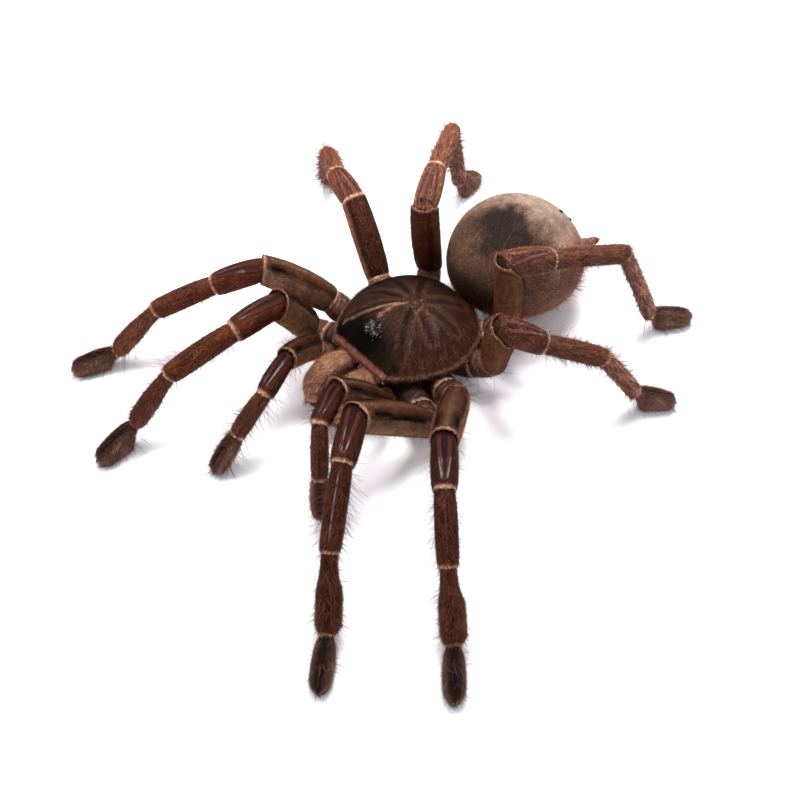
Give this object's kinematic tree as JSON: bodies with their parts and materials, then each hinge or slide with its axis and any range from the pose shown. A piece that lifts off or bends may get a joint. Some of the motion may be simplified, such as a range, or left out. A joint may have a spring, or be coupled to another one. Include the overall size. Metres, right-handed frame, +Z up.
{
  "type": "dried tarantula specimen",
  "caption": "Large brown tarantula dried standing on its feet with its legs arched, a velvety unframed specimen for display.",
  "frame": {"origin": "middle of the footprint box on the ground, below the cephalothorax's rear", "axes": "+Z up from the soles of the feet, the spider looks along -Y, its left side is +X"},
  "size_m": [0.1691, 0.1579, 0.044],
  "materials": {
    "carapace_pile": "short dark red-brown velvet pile over horn, grooves from the middle pit, glossy black eye mound",
    "abdomen_skin": "matt dark brown skin balding to grey-beige, long rusty hairs at the rear",
    "jaw_pile": "short olive-brown pile",
    "fang_horn": "polished black-brown horn",
    "leg_pile": "chestnut velvet pile with pale rims and bare pink-brown stripes",
    "long_hair": "fine rusty-red bristles"
  },
  "bodies": {
    "root": {"cephalothorax": "carapace_pile", "abdomen": "abdomen_skin", "left_chelicera": "jaw_pile", "left_fang": "fang_horn", "left_pedipalp": "leg_pile", "right_chelicera": "jaw_pile", "right_fang": "fang_horn", "right_pedipalp": "leg_pile", "left_leg_1": "leg_pile", "left_leg_2": "leg_pile", "left_leg_3": "leg_pile", "left_leg_4": "leg_pile", "right_leg_1": "leg_pile", "right_leg_2": "leg_pile", "right_leg_3": "leg_pile", "right_leg_4": "leg_pile"}
  },
  "joints": []
}
